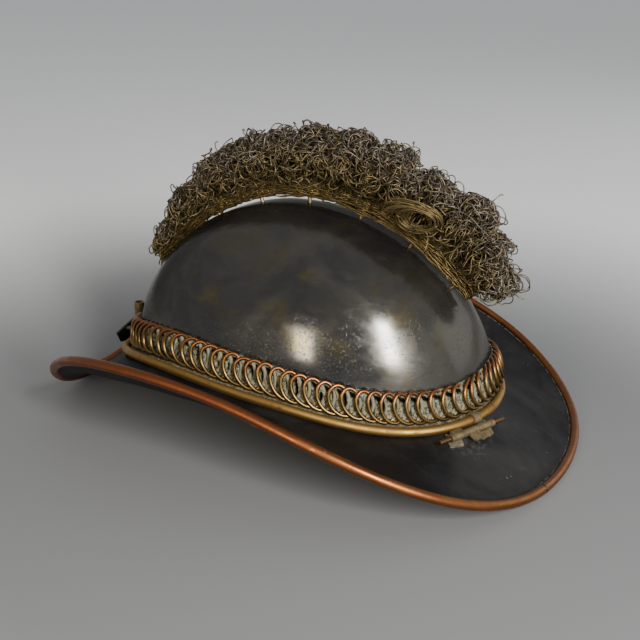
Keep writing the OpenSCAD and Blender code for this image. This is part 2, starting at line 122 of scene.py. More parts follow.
class Look:
    """A material being wired: each method adds one node and returns its output socket."""

    # Sockets of a colour mix node: the amount and the two colours, then the result
    MIX_INPUTS, MIX_RESULT = (0, 6, 7), 2

    def __init__(self, name, metallic=0.0, roughness=0.5, **inputs):
        self.material = bpy.data.materials.new(name)
        self.material.use_nodes = True
        self.tree = self.material.node_tree
        self.shader = self.tree.nodes["Principled BSDF"]
        self.put("Metallic", metallic)
        self.put("Roughness", roughness)
        for key, value in inputs.items():
            self.put(key.replace("_", " "), value)
        self.place = self.node("ShaderNodeTexCoord").outputs["Object"]

    def put(self, name, value):
        """Sets one of the shader's own inputs to a constant or a socket."""
        self.wire(self.shader.inputs[name], value)

    def wire(self, socket, value):
        if isinstance(value, bpy.types.NodeSocket):
            self.tree.links.new(value, socket)
        elif isinstance(value, tuple) and len(value) == 3 and socket.type == "RGBA":
            socket.default_value = (*value, 1)
        else:
            socket.default_value = value

    def node(self, kind, values=(), **settings):
        made = self.tree.nodes.new(kind)
        for key, value in settings.items():
            setattr(made, key, value)
        for key, value in dict(values).items():
            self.wire(made.inputs[key], value)
        return made

    def stretched(self, scale):
        """The object's own coordinates, scaled along each axis."""
        return self.node("ShaderNodeMapping", {
            "Vector": self.place, "Scale": scale}).outputs["Vector"]

    def noise(self, grain_mm, detail=4.0, roughness=0.55, distortion=0.0, place=None):
        return self.node("ShaderNodeTexNoise", {
            "Vector": place or self.place, "Scale": 1000.0 / grain_mm, "Detail": detail,
            "Roughness": roughness, "Distortion": distortion}).outputs["Fac"]

    def cells(self, grain_mm, place=None):
        return self.node("ShaderNodeTexVoronoi", {
            "Vector": place or self.place, "Scale": 1000.0 / grain_mm}).outputs["Distance"]

    def levels(self, value, low, high, to_low=0.0, to_high=1.0):
        """Maps low..high to to_low..to_high with soft ends."""
        return self.node("ShaderNodeMapRange", {
            "Value": value, "From Min": low, "From Max": high, "To Min": to_low, "To Max": to_high},
            interpolation_type="SMOOTHSTEP").outputs["Result"]

    def between(self, value, at_zero, at_one):
        """Maps 0..1 to that pair of values with soft ends."""
        return self.levels(value, 0, 1, at_zero, at_one)

    def maths(self, operation, a, b):
        return self.node("ShaderNodeMath", {0: a, 1: b}, operation=operation).outputs[0]

    def times(self, a, b):
        return self.maths("MULTIPLY", a, b)

    def plus(self, a, b):
        return self.maths("ADD", a, b)

    def mixed(self, amount, a, b):
        """Colour a, going over to colour b with the amount."""
        made = self.tree.nodes.new("ShaderNodeMix")
        made.data_type = "RGBA"
        for index, value in zip(self.MIX_INPUTS, (amount, a, b)):
            self.wire(made.inputs[index], value)
        return made.outputs[self.MIX_RESULT]

    def value(self, name):
        """A value stored on the mesh's points."""
        return self.node("ShaderNodeAttribute", attribute_name=name).outputs["Fac"]

    def along_axis(self, axis):
        """The object's own X, Y or Z in metres."""
        return self.node("ShaderNodeSeparateXYZ", {"Vector": self.place}).outputs[axis]

    def bump(self, height, depth_mm, strength):
        made = self.node("ShaderNodeBump", {
            "Height": height, "Distance": depth_mm * MM, "Strength": strength})
        self.put("Normal", made.outputs["Normal"])


def crown_metal():
    """Dark patinated sheet: polished, with clouds, rubbed streaks and pits, lighter and duller at
    the rear, partly dust and partly a painted reflection of the pale floor behind it.
    """
    clean_metallic, dust_and_sheen_metallic = 0.84, 0.74
    look = Look("crown_metal", metallic=clean_metallic, Coat_Weight=0.18, Coat_Roughness=0.11)
    look.put("Specular Tint", (0.28, 0.27, 0.25))
    clouds = look.levels(look.noise(55, 5, 0.6, 0.6), 0.36, 0.66)
    streaks = look.noise(14, 8, 0.68, 1.2, place=look.stretched((1.0, 0.6, 1.7)))
    smears = look.levels(look.noise(16, 6, 0.62, 0.4), 0.5, 0.72)
    fine = look.noise(2.2, 5, 0.7)
    base = look.mixed(clouds, (0.046, 0.045, 0.045), (0.083, 0.077, 0.066))
    base = look.mixed(look.times(smears, 0.85), base, (0.085, 0.070, 0.034))
    base = look.mixed(look.levels(streaks, 0.48, 0.74, 0.0, 0.22), base, (0.11, 0.105, 0.092))
    specks = look.levels(look.noise(1.8, 6, 0.75), 0.4, 0.75, 0.0, 0.3)
    base = look.mixed(specks, base, (0.03, 0.027, 0.022))
    low_wall = look.levels(look.along_axis("Z"), 0.105, 0.05)
    patch = look.levels(look.noise(20, 4, 0.6), 0.46, 0.58)
    pits = look.levels(look.noise(1.3, 4, 0.65, 0.4), 0.58, 0.66)
    pitted = look.times(pits, look.times(patch, low_wall))
    base = look.mixed(pitted, base, (0.022, 0.02, 0.018))
    # rear lighter and less metallic: partly dust, partly a painted reflection of the pale floor
    # behind the helmet
    dust = look.levels(look.along_axis("Y"), 0.055, 0.095)
    look.put("Metallic", look.between(dust, clean_metallic, dust_and_sheen_metallic))
    base = look.mixed(look.times(dust, 0.6), base, (0.050, 0.048, 0.041))
    look.put("Base Color", base)
    rough = look.plus(look.between(dust, 0.0, 0.10), look.between(clouds, 0.15, 0.20))
    rough = look.plus(rough, look.levels(streaks, 0.3, 0.75, -0.02, 0.07))
    look.put("Roughness", look.plus(rough, look.times(pitted, 0.3)))
    shape = look.maths("SUBTRACT", look.times(fine, 0.12), pitted)
    look.bump(shape, 0.12, 0.8)
    return look.material


def brim_metal():
    """Black-grey sheet, satin, with pale specks, scuffs and verdigris by the rim."""
    look = Look("brim_metal", metallic=0.8, Coat_Weight=0.08, Coat_Roughness=0.3)
    look.put("Specular Tint", (0.20, 0.20, 0.21))
    clouds = look.levels(look.noise(42, 5, 0.6, 0.5), 0.35, 0.68)
    scuffs = look.levels(look.noise(7, 6, 0.7, 0.8), 0.56, 0.78)
    specks = look.levels(look.noise(2.0, 2, 0.5), 0.735, 0.77)
    dust = look.levels(look.noise(30, 3, 0.5), 0.45, 0.65)
    base = look.mixed(clouds, (0.018, 0.018, 0.020), (0.041, 0.039, 0.037))
    base = look.mixed(look.times(scuffs, 0.3), base, (0.105, 0.10, 0.09))
    base = look.mixed(look.times(specks, look.between(dust, 0.1, 0.8)), base, (0.36, 0.36, 0.32))
    reach = look.value("reach")
    rear = look.value("rear")
    crust = look.plus(look.levels(reach, 0.955, 0.985),
                      look.levels(look.noise(3, 5, 0.7), 0.35, 0.7, -0.55, 0.25))
    crust = look.times(look.levels(crust, 0.45, 0.95), look.levels(rear, 0.15, 0.75))
    base = look.mixed(look.times(crust, 0.4), base, (0.11, 0.13, 0.105))
    bloom = look.value("bloom")
    stain = look.plus(bloom, look.levels(look.noise(3.4, 5, 0.7), 0.3, 0.7, -0.5, 0.3))
    stain = look.levels(stain, 0.35, 0.9)
    base = look.mixed(look.times(stain, 0.2), base, (0.08, 0.075, 0.055))
    look.put("Base Color", base)
    dull = look.maths("MAXIMUM", crust, look.times(stain, 0.5))
    rough = look.plus(look.between(clouds, 0.40, 0.52), look.times(dull, 0.35))
    look.put("Roughness", rough)
    look.put("Metallic", look.between(dull, 0.75, 0.1))
    grain = look.plus(look.times(look.noise(3.0, 6, 0.65), 0.25), dull)
    look.bump(grain, 0.25, 0.7)
    return look.material


def aged_copper():
    """Orange-brown copper tube with dark stains, bright rubbed spots and a little verdigris."""
    look = Look("copper", metallic=1.0)
    clouds = look.levels(look.noise(26, 5, 0.6, 0.5), 0.35, 0.68)
    stains = look.levels(look.noise(6, 6, 0.68, 0.6), 0.54, 0.74)
    rubs = look.levels(look.noise(3.2, 4, 0.6), 0.62, 0.72)
    base = look.mixed(clouds, (0.23, 0.070, 0.029), (0.18, 0.065, 0.027))
    mottle = look.levels(look.noise(9, 5, 0.68, 0.5), 0.38, 0.62, 0.15, 1.0)
    base = look.mixed(look.times(look.value("rear"), mottle), base, (0.215, 0.088, 0.026))
    base = look.mixed(look.times(stains, 0.55), base, (0.13, 0.055, 0.025))
    base = look.mixed(look.times(rubs, 0.4), base, (0.60, 0.27, 0.12))
    base = look.mixed(look.value("butt"), base, (0.012, 0.01, 0.008))
    green = look.levels(look.noise(10, 5, 0.72), 0.63, 0.72)
    base = look.mixed(look.times(green, 0.7), base, (0.10, 0.10, 0.035))
    look.put("Base Color", base)
    look.put("Roughness", look.plus(look.between(clouds, 0.36, 0.47), look.times(stains, 0.12)))
    look.bump(look.noise(1.6, 5, 0.7), 0.09, 0.6)
    return look.material


def aged_brass(name, light, dark, stain, roughness, metallic=1.0, grain_mm=18):
    """Brass with clouds of tarnish, dark stains and a fine grain."""
    look = Look(name, metallic=metallic)
    clouds = look.levels(look.noise(grain_mm, 5, 0.62, 0.5), 0.36, 0.66)
    stains = look.levels(look.noise(grain_mm / 4, 6, 0.7, 0.5), 0.55, 0.73)
    base = look.mixed(clouds, light, dark)
    base = look.mixed(look.times(stains, 0.75), base, stain)
    look.put("Base Color", base)
    look.put("Roughness", look.plus(look.between(clouds, roughness - 0.05, roughness + 0.06),
                                     look.times(stains, 0.2)))
    look.bump(look.noise(1.2, 5, 0.7), 0.08, 0.6)
    return look.material


def coil_copper():
    """Wire of the hat band: coppery over the top, golden below, caked where it is buried."""
    look = Look("coil_wire", metallic=1.0)
    tone = look.levels(look.noise(12, 4, 0.6), 0.36, 0.64)
    base = look.mixed(tone, (0.215, 0.135, 0.042), (0.15, 0.09, 0.032))
    base = look.mixed(look.times(look.value("crown_side"), 0.85), base, (0.235, 0.082, 0.03))
    grime = look.levels(look.noise(2.6, 5, 0.68), 0.5, 0.7)
    base = look.mixed(look.times(grime, 0.7), base, (0.08, 0.065, 0.038))
    caked = look.plus(look.value("buried"),
                      look.levels(look.noise(1.6, 4, 0.7), 0.3, 0.7, -0.3, 0.3))
    caked = look.levels(caked, 0.35, 0.7)
    base = look.mixed(caked, base, (0.15, 0.135, 0.085))
    look.put("Base Color", base)
    look.put("Metallic", look.between(caked, 1.0, 0.15))
    look.put("Roughness", look.plus(look.between(grime, 0.37, 0.5), look.times(caked, 0.35)))
    look.bump(look.noise(0.8, 4, 0.65), 0.05, 0.5)
    return look.material


def packed_putty():
    """Grey-green, granular filling, painted near-black as shade in the gaps beside the loops,
    browner and crusted along its foot.
    """
    look = Look("backing", roughness=0.72)
    # no reflection in the gaps, so the painted shade there stays black
    look.put("Specular IOR Level", look.levels(look.value("gap"), 0, 0.5, 0.6, 0.0))
    lumps = look.noise(1.7, 6, 0.72, 0.8)
    fibres = look.noise(1.0, 4, 0.7, place=look.stretched((1.0, 1.0, 0.35)))
    base = look.mixed(look.levels(lumps, 0.42, 0.58), (0.010, 0.009, 0.006), (0.165, 0.155, 0.085))
    browner = look.levels(look.noise(6, 4, 0.6), 0.48, 0.7, 0, 0.5)
    base = look.mixed(browner, base, (0.13, 0.095, 0.03))
    base = look.mixed(look.levels(fibres, 0.55, 0.70, 0, 0.75), base, (0.34, 0.36, 0.27))
    foot = look.mixed(look.levels(lumps, 0.38, 0.62), (0.028, 0.022, 0.012), (0.125, 0.105, 0.05))
    base = look.mixed(look.value("foot"), base, foot)
    # painted shade: near-black in the gaps beside the loops
    look.put("Base Color", look.mixed(look.value("gap"), base, (0.004, 0.004, 0.003)))
    look.bump(look.plus(lumps, look.times(fibres, 0.5)), 0.5, 1.0)
    return look.material


def crest_metal():
    """Fine brass wire: olive and golden over most of its length, dark brown towards the tips."""
    look = Look("crest_wire", metallic=0.8)
    look.put("Specular Tint", (0.6, 0.55, 0.45))
    age = look.value("age")
    tone = look.value("tone")
    root = look.mixed(tone, (0.165, 0.12, 0.05), (0.055, 0.043, 0.022))
    tip = look.mixed(tone, (0.07, 0.059, 0.047), (0.175, 0.145, 0.11))
    base = look.mixed(age, root, tip)
    grime = look.levels(look.noise(3.0, 4, 0.6), 0.46, 0.66)
    base = look.mixed(look.times(grime, 0.65), base, (0.035, 0.028, 0.016))
    look.put("Base Color", base)
    look.put("Roughness", look.between(grime, 0.46, 0.62))
    return look.material


def stage_with_painted_light():
    """Floor with painted light and shade: grey round the helmet as painted shade, paler with the
    distance from its left side as painted light.
    """
    look = Look("floor_with_painted_shade", roughness=0.75)
    middle, near, far = (0.05, 0.02, 0), 0.2, 0.72
    away = look.node("ShaderNodeVectorMath", {0: look.place, 1: middle}, operation="DISTANCE")
    # painted shade round the helmet, going over to painted light further out
    painted_brightening = look.levels(away.outputs["Value"], near, far)
    look.put("Base Color", look.mixed(painted_brightening, (0.160, 0.162, 0.165), (0.97, 0.97, 0.96)))
    return look.material


def worn_leather(name, base_colour, worn_colour):
    """Vegetable-tanned leather with creases, pores and polished high spots."""
    look = Look(name, roughness=0.55)
    clouds = look.levels(look.noise(22, 5, 0.6), 0.36, 0.66)
    creases = look.noise(2.4, 6, 0.7, 1.2)
    base = look.mixed(clouds, base_colour, worn_colour)
    crease_colour = tuple(0.35 * c for c in base_colour)
    base = look.mixed(look.levels(creases, 0.55, 0.75, 0, 0.6), base, crease_colour)
    look.put("Base Color", base)
    look.put("Roughness", look.levels(creases, 0.35, 0.7, 0.42, 0.66))
    look.bump(look.plus(creases, look.times(look.cells(1.1), 0.5)), 0.25, 0.8)
    return look.material


# Badge plate: its near-black colour is painted shade, for the shade on the plate's back face, with
# a few lighter chips of wear.
def shade_black_finish():
    look = Look("black_metal", metallic=0.4)
    chips = look.levels(look.noise(3.5, 5, 0.7), 0.58, 0.68)
    base = look.mixed(look.noise(8, 4, 0.6), (0.012, 0.012, 0.012), (0.035, 0.032, 0.028))
    look.put("Base Color", look.mixed(look.times(chips, 0.5), base, (0.12, 0.085, 0.045)))
    look.put("Roughness", look.between(chips, 0.42, 0.62))
    look.bump(look.noise(2, 5, 0.7), 0.12, 0.6)
    return look.material


def grey_solder():
    look = Look("solder", metallic=0.25)
    lumps = look.noise(2.2, 6, 0.7, 0.6)
    base = look.mixed(look.levels(lumps, 0.38, 0.66), (0.045, 0.04, 0.024), (0.13, 0.115, 0.065))
    stains = look.levels(look.noise(5, 4, 0.6), 0.5, 0.7, 0, 0.6)
    look.put("Base Color", look.mixed(stains, base, (0.12, 0.085, 0.04)))
    look.put("Roughness", look.levels(lumps, 0.3, 0.7, 0.72, 0.5))
    look.bump(lumps, 0.5, 1.0)
    return look.material


def twisted_cotton():
    look = Look("cord", roughness=0.85)
    fibres = look.noise(0.8, 5, 0.7)
    look.put("Base Color", look.mixed(fibres, (0.30, 0.24, 0.15), (0.52, 0.44, 0.30)))
    look.bump(fibres, 0.15, 0.9)
    return look.material


crown_look = crown_metal()
brim_look = brim_metal()
copper_look = aged_copper()
ring_look = aged_brass(
    "brass", (0.32, 0.19, 0.055), (0.24, 0.135, 0.042), (0.05, 0.033, 0.016), roughness=0.54)
coil_look = coil_copper()
backing_look = packed_putty()
crest_look = crest_metal()
spine_look = aged_brass(
    "crest_brass", (0.17, 0.12, 0.046), (0.09, 0.065, 0.03), (0.032, 0.025, 0.015), roughness=0.46)
dark_brass_look = aged_brass(
    "dark_brass", (0.26, 0.19, 0.09), (0.17, 0.125, 0.065), (0.06, 0.05, 0.03), roughness=0.42)
hinge_look = aged_brass(
    "hinge_brass", (0.21, 0.15, 0.065), (0.09, 0.075, 0.045), (0.04, 0.034, 0.022),
    roughness=0.5, metallic=0.7, grain_mm=5)
shade_black_look = shade_black_finish()
pin_look = aged_brass(
    "pin_copper", (0.19, 0.10, 0.045), (0.12, 0.075, 0.036), (0.05, 0.038, 0.022), roughness=0.45)
solder_look = grey_solder()
leather_look = worn_leather("leather", (0.085, 0.042, 0.022), (0.16, 0.085, 0.042))
lining_look = worn_leather("lining_leather", (0.13, 0.072, 0.036), (0.22, 0.135, 0.07))
cord_look = twisted_cotton()


# ---------- outlines, the same as the CAD part's, in millimetres and degrees ----------

CROWN_HALF_LENGTH, CROWN_HALF_WIDTH, CROWN_RISE = 111, 77.3, 97.1
CROWN_LEAN = 0.104
PLAN_FULLNESS, DOME_FULLNESS, PLAN_EGG = 2.31, 1.95, 0.024
SHEET = 1.4
SEAM_HEIGHT, SEAM_TILT, SEAM_SADDLE, SEAM_SHOULDER = 38.8, 6.3, 4.1, 5.2
RING_R, RING_STAND = 2.6, 9
REAR_FLARE, COIL_REAR_LIFT, REAR_AT = 2.8, 1.2, 190
REAR_TUCK, TUCK_AT = 4.5, 196
EDGE_DENT, EDGE_DENT_AT = 5, 338
NARROW = 24                          # sharpness of the tuck and the dent
BINDING_R = 2.8
BINDING_JOINT, BINDING_GAP = 162, 0.8
COIL_FOOT, COIL_HEIGHT = 4.2, 18.8
CREST_START, CREST_END = 27, 149
SPINE_R, SPINE_LOW, SPINE_HIGH = 2.7, 3, 7.2
CREST_HALF_WIDTH = 17
TUFTS = 12
EDGE_REACH = [162, 158.5, 145, 134, 154, 165.5, 162]      # every 30 degrees from the front
EDGE_HEIGHT = [BINDING_R, 34.7, 65.5, 60.7, 38.1, 8.6, BINDING_R]
GUTTER = [2.5, 5.5, 8.5, 5.1, 2.5, 2.5, 2.5]
TUFT_LENGTH = [20, 29, 31, 35, 36, 36, 39, 43, 43, 41, 46, 32]
TUFT_LEAN = [-14, -4, 0, 0, 0, 2, 8, 14, 20, 28, 42, 72]
TUFT_WIDTH = [0.5, 0.6, 0.85, 1, 1, 1, 1, 1, 1, 0.95, 0.9, 0.85]
UP = np.array([0.0, 0.0, 1.0])
LEFT = np.array([1.0, 0.0, 0.0])


def sind(a):
    return np.sin(np.radians(a))


def cosd(a):
    return np.cos(np.radians(a))


def spow(v, e):
    return np.sign(v) * np.abs(v) ** e


def smooth(t):
    t = np.clip(t, 0, 1)
    return t * t * (3 - 2 * t)


def mix(a, b, t):
    return a + (b - a) * t


def unit(v):
    return v / np.maximum(np.linalg.norm(v, axis=-1, keepdims=True), 1e-12)


def point(x, y, z):
    return np.stack(np.broadcast_arrays(x, y, z), axis=-1).astype(float)


def series_at(values, th):
    """Cosine series through values given at equal steps from the front (0) to the rear (180)."""
    n = len(values) - 1
    weight = np.array([0.5 if i in (0, n) else 1.0 for i in range(n + 1)])
    total = 0
    for k in range(n + 1):
        matched = sum(weight[j] * values[j] * cosd(k * j * 180 / n) for j in range(n + 1))
        total = total + weight[k] * 2 / n * matched * cosd(k * np.asarray(th))
    return total


def plan(a, b, th):
    """Plan outline with half length a and half width b."""
    e = 2 / PLAN_FULLNESS
    y = -a * spow(cosd(th), e)
    return b * spow(sind(th), e) * (1 - PLAN_EGG * y / a), y


def seam_z(th):
    """Height of the base ring's middle."""
    return (SEAM_HEIGHT + SEAM_TILT * cosd(th) - SEAM_SADDLE * cosd(2 * th)
            - SEAM_SHOULDER * cosd(3 * th))


def seat_z(th):
    """Height of the brim's top face under the base ring."""
    return seam_z(th) - RING_R


def rearward(th, sharpness):
    """1 at the rear, falling to 0 round the sides."""
    return np.maximum(0, cosd(np.asarray(th) - REAR_AT)) ** sharpness


def dome(th, lift, out):
    """Point on the crown at elevation angle lift, moved out from the sheet's outer face."""
    rise = CROWN_RISE + out
    h = rise * np.maximum(sind(lift), 0) ** (2 / DOME_FULLNESS)
    r = np.maximum(cosd(lift), 0) ** (2 / DOME_FULLNESS)
    x, y = plan(CROWN_HALF_LENGTH + out, CROWN_HALF_WIDTH + out, th)
    low = np.maximum(1 - h / rise, 0) ** 3
    flare = REAR_FLARE * rearward(th, 4) * np.maximum(1 - h / rise, 0) ** 1.1
    z = SEAM_HEIGHT + h + (seat_z(th) - SEAM_HEIGHT) * low
    return point(x * r, y * r - CROWN_LEAN * h + flare, z)


def wall(th, h, out):
    """Point beside the crown at height h above the brim."""
    rise = CROWN_RISE + out
    guess = h
    for _ in range(6):
        guess = h - (SEAM_HEIGHT - seat_z(th)) * (1 - (1 - guess / rise) ** 3)
    return dome(th, np.degrees(np.arcsin(np.clip(guess / rise, 0, 1) ** (DOME_FULLNESS / 2))), out)


def ridge(lift, out):
    """Point on the crown's middle line: lift runs from 0 at the front to 180 at the rear."""
    lift = np.asarray(lift, float)
    return dome(np.where(lift <= 90, 0.0, 180.0), np.where(lift <= 90, lift, 180 - lift), out)


def ring_shift(th):
    """How far the base ring is drawn in at the rear."""
    return -REAR_TUCK * np.maximum(0, cosd(np.asarray(th) - TUCK_AT)) ** NARROW


def ring_plan(th):
    """Plan of the base ring's middle."""
    x, y = plan(CROWN_HALF_LENGTH + RING_STAND, CROWN_HALF_WIDTH + RING_STAND, th)
    return x, y + ring_shift(th)


def edge(th):
    """Middle of the brim's edge binding."""
    r = series_at(EDGE_REACH, th)
    dent = EDGE_DENT * np.maximum(0, cosd(np.asarray(th) - EDGE_DENT_AT)) ** NARROW
    z = series_at(EDGE_HEIGHT, th) - dent
    return point(r * sind(th), -r * cosd(th), np.maximum(BINDING_R, z))


def brim_top(th, s):
    """Top face of the brim: s runs from 0 at the base ring to 1 at the edge."""
    x, y = ring_plan(th)
    a, b = point(x, y, seat_z(th)), edge(th)
    s = np.asarray(s, float)
    dip = 4 * series_at(GUTTER, th) * s * (1 - s)
    return mix(a, b, s[..., None]) - dip[..., None] * UP


def spine(lift):
    """Middle line of the wire bundle that carries the crest."""
    return ridge(lift, mix(SPINE_LOW, SPINE_HIGH, smooth((np.asarray(lift) - 42) / 50)))


# ---------- mesh kit ----------

def add_mesh(name, points, faces, look, values=None):
    """A smooth mesh object from points in millimetres; values are stored on its points."""
    points, faces = np.asarray(points, float), np.asarray(faces, np.int32)
    corners = faces.shape[1]
    mesh = bpy.data.meshes.new(name)
    mesh.vertices.add(len(points))
    mesh.vertices.foreach_set("co", (points * MM).astype(np.float32).ravel())
    mesh.loops.add(faces.size)
    mesh.loops.foreach_set("vertex_index", faces.ravel())
    mesh.polygons.add(len(faces))
    mesh.polygons.foreach_set("loop_start", np.arange(0, faces.size, corners, dtype=np.int32))
    mesh.polygons.foreach_set("use_smooth", np.full(len(faces), True))
    mesh.update(calc_edges=True)
    for key, data in (values or {}).items():
        stored = mesh.attributes.new(key, "FLOAT", "POINT").data
        stored.foreach_set("value", np.asarray(data, np.float32).ravel())
    mesh.materials.append(look)
    made = bpy.data.objects.new(name, mesh)
    bpy.context.scene.collection.objects.link(made)
    return made


def grid_faces(rows, cols, wrap_rows=False):
    """Quads over a grid of points: each row closes into a ring, and so do the rows on request."""
    i = np.arange(rows if wrap_rows else rows - 1)[:, None]
    j = np.arange(cols)[None, :]
    k, l = (i + 1) % rows, (j + 1) % cols
    quads = [i * cols + j, i * cols + l, k * cols + l, k * cols + j]
    return np.stack(np.broadcast_arrays(*quads), axis=-1).reshape(-1, 4)


def add_grid(name, grid, look, wrap_rows=False, values=None):
    rows, cols = grid.shape[:2]
    return add_mesh(name, grid.reshape(-1, 3), grid_faces(rows, cols, wrap_rows), look, values)


def frames_along(paths, closed=False):
    """Two directions across each of many paths, turning as little as possible.

    Paths are (count, steps, 3).
    """
    if closed:
        ahead = unit(np.roll(paths, -1, axis=1) - np.roll(paths, 1, axis=1))
    else:
        ahead = unit(np.gradient(paths, axis=1))
    pick = np.where(np.abs(ahead[:, 0, 2:3]) < 0.9, UP, LEFT)
    side = unit(np.cross(ahead[:, 0], pick))
    sides = [side]
    for i in range(1, paths.shape[1]):
        side = unit(side - np.sum(side * ahead[:, i], axis=-1, keepdims=True) * ahead[:, i])
        sides.append(side)
    sides = np.stack(sides, axis=1)
    return sides, np.cross(ahead, sides)


def section_angles(sides):
    return np.arange(sides) * 2 * math.pi / sides


def wires(paths, radius, sides):
    """Points and quads of round wires along many paths at once, each end closed to a tip."""
    count, steps = paths.shape[:2]
    across, over = frames_along(paths)
    radius = np.broadcast_to(np.asarray(radius, float), (count, steps)).copy()
    radius[:, [0, -1]] *= 0.05
    turn = section_angles(sides)
    ring = np.cos(turn)[:, None] * across[:, :, None] + np.sin(turn)[:, None] * over[:, :, None]
    points = paths[:, :, None] + radius[:, :, None, None] * ring
    one = grid_faces(steps, sides)
    faces = (np.arange(count) * steps * sides)[:, None, None] + one[None]
    return points.reshape(-1, 3), faces.reshape(-1, 4)


def add_wires(name, paths, radius, look, sides=5, values=None):
    """One mesh of many wires; values are given for each step of each path."""
    points, faces = wires(paths, radius, sides)
    spread = {key: np.repeat(np.broadcast_to(v, paths.shape[:2]).ravel(), sides)
              for key, v in (values or {}).items()}
    return add_mesh(name, points, faces, look, spread)


def waves(points, size_mm, seed, octaves=3):
    """Smooth random field between about -1 and 1, with features of that size."""
    rng = np.random.default_rng(seed)
    total, weight = 0, 1.0
    for octave in range(octaves):
        for _ in range(5):
            direction = unit(rng.normal(size=3)) * 2 * math.pi / size_mm * 2 ** octave
            direction = direction * rng.uniform(0.7, 1.3)
            total = total + weight * np.sin(points @ direction + rng.uniform(0, 6.283)) * 0.35
        weight *= 0.5
    return total


def settle(piece, body, slot, *replaced):
    """Every piece rides on a body and stands for its CAD nodes, which are hidden; the slot is not
    used.
    """
    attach(piece, body)
    if replaced:
        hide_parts(*replaced)
    return piece


# ---------- crown and brim ----------

LAP = np.arange(0, 360, 1.5)
HINGE_PLACE = np.array([45.6, 113.4, 28.8])
BINDING_SIDES, RING_SIDES = 18, 20


def build_crown():
    """Raised dome: outer face, foot and inner face, with the small flats that a hammer leaves."""
    lifts = np.concatenate([np.linspace(0, 84, 64), np.linspace(85.5, 89.9, 6)])
    outer = dome(LAP[None], lifts[:, None], 0.0)
    inner = dome(LAP[None], lifts[::-1, None], -SHEET)
    grid = np.concatenate([outer, inner])
    out = unit(grid - np.array([0, 0, SEAM_HEIGHT]))
    fade = smooth((grid[..., 2] - SEAM_HEIGHT - 6) / 25)
    grid = grid + out * (0.16 * fade * waves(grid, 52, 3, 2))[..., None]
    made = add_grid("crown_shell_raised", grid, crown_look, wrap_rows=True)
    settle(made, "helmet", "crown_metal", "crown_shell")


def build_brim():
    """Swept sheet with a slightly uneven surface.

    Its points store how far out and how far back they are, and how near the hinge.
    """
    steps = 44
    length = np.linalg.norm((edge(LAP) - brim_top(LAP, np.zeros_like(LAP)))[:, :2], axis=-1)
    reach_in = 1 - (BINDING_R - 0.6) / length
    x, y = plan(CROWN_HALF_LENGTH - 3, CROWN_HALF_WIDTH - 3, LAP)
    margin = point(x, y, seat_z(LAP))
    s = np.linspace(0, 1, steps)
    top = brim_top(LAP[None], s[:, None] * reach_in[None])
    uneven = 0.45 * (np.sin(math.pi * s) ** 0.7)[:, None] * waves(top, 60, 11, 3)
    top = top + uneven[..., None] * UP
    top = np.concatenate([margin[None], top])
    grid = np.concatenate([top[::-1], top - SHEET * UP])
    s_all = np.concatenate([[0], s])
    reach = np.concatenate([s_all[::-1], s_all])[:, None] * np.ones_like(LAP)
    rear = np.broadcast_to(smooth((110 - np.abs(LAP - 185)) / 55), reach.shape)
    apart = (grid - HINGE_PLACE) * [0.8, 1.25, 1]
    bloom = np.exp(-(np.linalg.norm(apart, axis=-1) / 17) ** 2)
    made = add_grid("brim_raised", grid, brim_look, wrap_rows=True,
                    values={"reach": reach, "rear": rear, "bloom": bloom})
    settle(made, "helmet", "brim_metal", "brim")


def swept_ring(th, centre, radius, sides, closed=True):
    """Round section carried round the helmet."""
    if closed:
        ahead = unit(np.roll(centre, -1, 0) - np.roll(centre, 1, 0))
    else:
        ahead = unit(np.gradient(centre, axis=0))
    out = unit(np.cross(ahead, UP))
    over = np.cross(out, ahead)
    turn = section_angles(sides)
    radius = np.broadcast_to(radius, th.shape)[:, None, None]
    return centre[:, None] + radius * (np.cos(turn)[None, :, None] * out[:, None]
                                       + np.sin(turn)[None, :, None] * over[:, None])


def build_binding():
    """Copper tube folded over the brim's edge, with a butt joint at the left rear."""
    half_gap = math.degrees(BINDING_GAP / 2 / EDGE_REACH[-1])
    th = np.linspace(BINDING_JOINT + half_gap, BINDING_JOINT + 360 - half_gap, 561)
    centre = edge(th)
    radius = BINDING_R * (1 + 0.022 * waves(centre, 34, 21, 3))
    centre[1], centre[-2] = mix(centre[0], centre[1], 0.25), mix(centre[-1], centre[-2], 0.25)
    body = swept_ring(th, centre, radius, BINDING_SIDES, closed=False)
    caps = [np.repeat(centre[i][None, None], BINDING_SIDES, axis=1) for i in (0, -1)]
    grid = np.concatenate([caps[0], body, caps[1]])
    rear = np.concatenate([[1], smooth((95 - np.abs((th % 360) - 180)) / 60), [1]])
    butt = np.zeros(len(grid))
    butt[[0, 1, -2, -1]] = 1
    made = add_grid("edge_binding_tube", grid, copper_look, values={
        "rear": np.repeat(rear[:, None], BINDING_SIDES, axis=1),
        "butt": np.repeat(butt[:, None], BINDING_SIDES, axis=1)})
    settle(made, "helmet", "copper", "edge_binding")


# ---------- hat band ----------

def build_base_ring():
    x, y = ring_plan(LAP)
    centre = point(x, y, seam_z(LAP))
    radius = RING_R * (1 + 0.012 * waves(centre, 28, 31, 3))
    tube = swept_ring(LAP, centre, radius, RING_SIDES)
    made = add_grid("base_ring_moulding", tube, ring_look, wrap_rows=True)
    settle(made, "helmet", "brass", "base_ring")


WIRE_R, LOOP_PITCH, LOOP_WIDTH = 1.08, 7.1, 14.2
SUNK, PROUD = 1.75, 4.9            # how far the loops' rear and front arcs stand off the crown
FILL_OUT = 2.75                    # how far the filling stands off it


